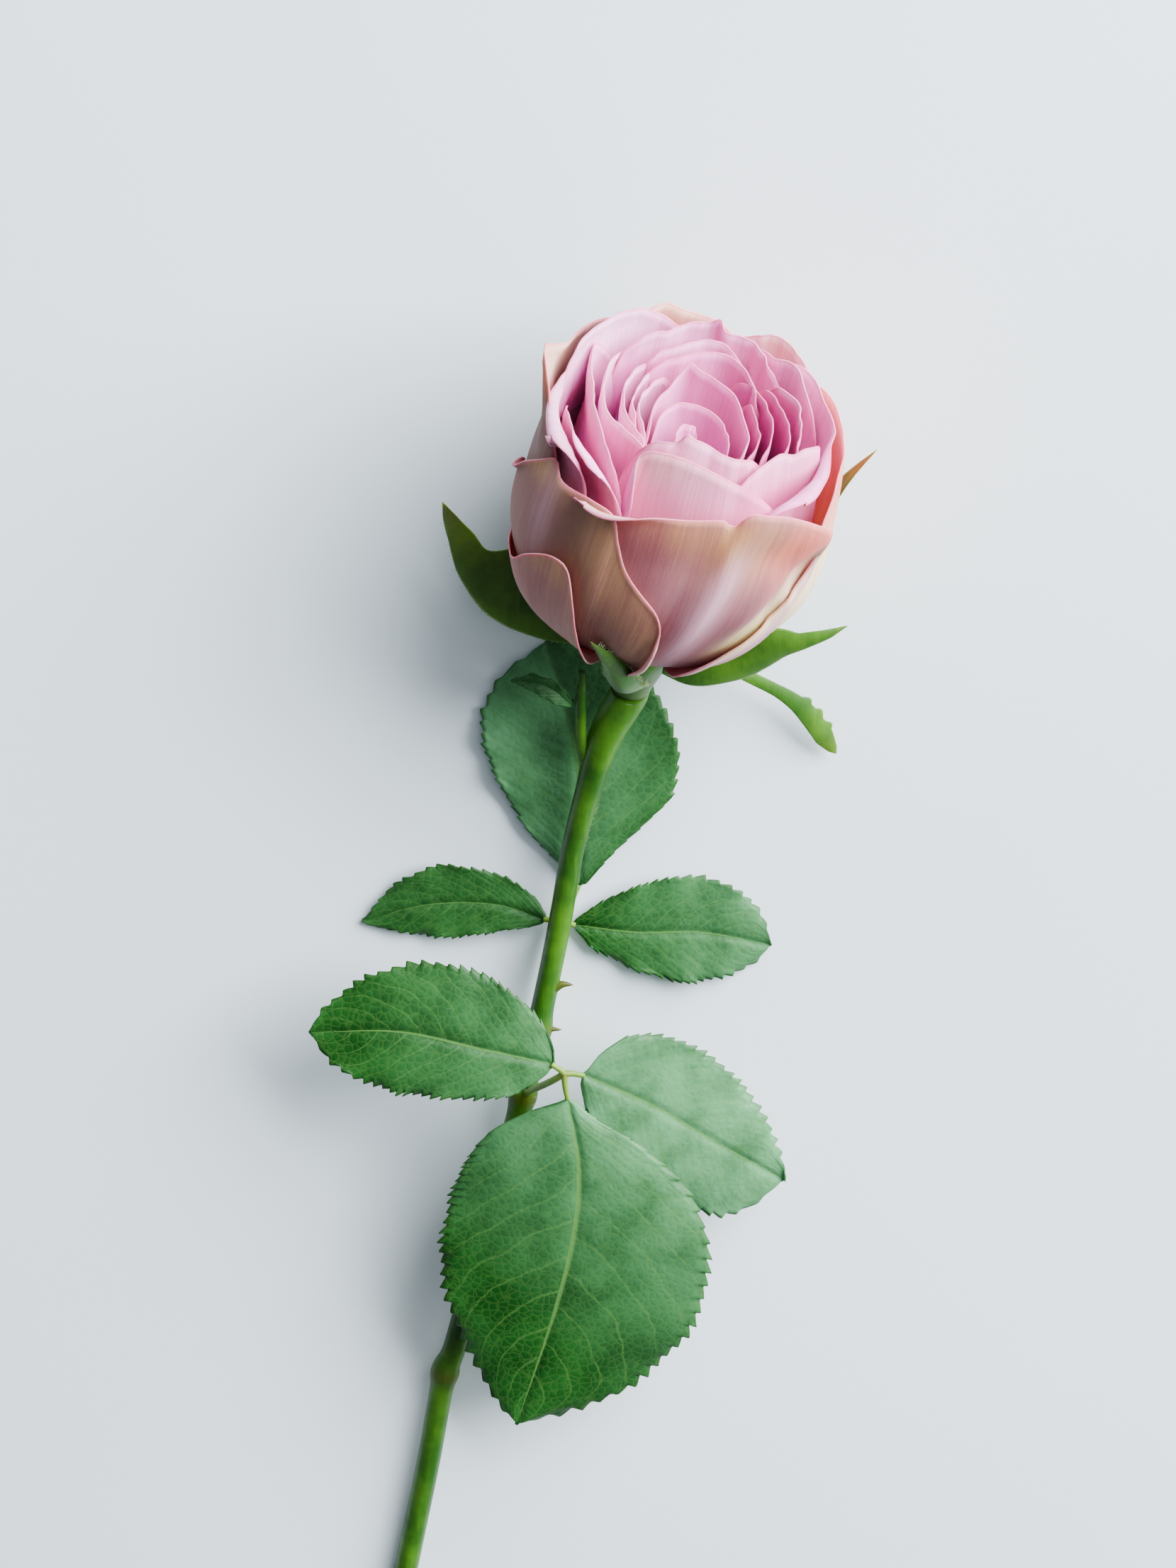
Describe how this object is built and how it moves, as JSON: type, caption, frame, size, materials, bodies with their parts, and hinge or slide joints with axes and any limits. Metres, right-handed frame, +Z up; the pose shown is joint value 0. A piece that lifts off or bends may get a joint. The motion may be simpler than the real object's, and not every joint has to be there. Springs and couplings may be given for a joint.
{
  "type": "cut rose",
  "caption": "Cut rose lying on its side: a cupped, densely filled bloom with sepals on a gently curved stem with toothed compound leaves, for a vase or a bunch.",
  "frame": {"origin": "middle of the underside of the whole flower as it lies, on the surface it rests on", "axes": "+Y from the cut end of the stem towards the bloom, +Z up from the surface, +X to the bloom's right as seen from above with the bloom away from the viewer"},
  "size_m": [0.1102, 0.303, 0.0648],
  "materials": {
    "guard_petal": "matte velvety petal, dusty mauve fading to tan and green at the rim, light shows through",
    "inner_petal": "soft satin petal, lilac pink, paler towards the rim, light shows through",
    "sepal": "matte green with fine pale hairs",
    "leaf": "waxy green upper side with pale veins, paler matte underside",
    "stem": "smooth waxy green bark with fine hairs near the bloom, darker at the joints"
  },
  "bodies": {
    "root": {"guard_low_left": "guard_petal", "guard_left": "guard_petal", "guard_front": "guard_petal", "guard_under": "guard_petal", "guard_back_left": "guard_petal", "guard_right": "guard_petal", "petal_back_right": "inner_petal", "petal_back_tall": "inner_petal", "petal_right_pale": "inner_petal", "petal_left_rolled": "inner_petal", "petal_back_ruffled": "inner_petal", "petal_left_second": "inner_petal", "petal_front": "inner_petal", "petal_left_third": "inner_petal", "petal_back_second": "inner_petal", "petal_front_right": "inner_petal", "petal_back_third": "inner_petal", "petal_front_ruffled": "inner_petal", "petal_right_second": "inner_petal", "petal_left_fourth": "inner_petal", "petal_middle_01": "inner_petal", "petal_middle_02": "inner_petal", "petal_middle_03": "inner_petal", "petal_middle_04": "inner_petal", "petal_middle_05": "inner_petal", "petal_middle_06": "inner_petal", "petal_middle_07": "inner_petal", "petal_middle_08": "inner_petal", "petal_middle_09": "inner_petal", "petal_middle_10": "inner_petal", "petal_middle_11": "inner_petal", "petal_middle_12": "inner_petal", "petal_middle_13": "inner_petal", "hip": "sepal", "sepal_left": "sepal", "sepal_front": "sepal", "sepal_right": "sepal", "sepal_reflexed": "sepal", "sepal_far_right": "sepal", "stem": "stem", "side_bract": "leaf", "leaf_top_end": "leaf", "leaf_top_left": "leaf", "leaf_top_right": "leaf", "leaf_stalk_top": "stem", "leaf_low_end": "leaf", "leaf_low_left": "leaf", "leaf_low_right": "leaf", "leaf_stalk_low": "stem"}
  },
  "joints": []
}
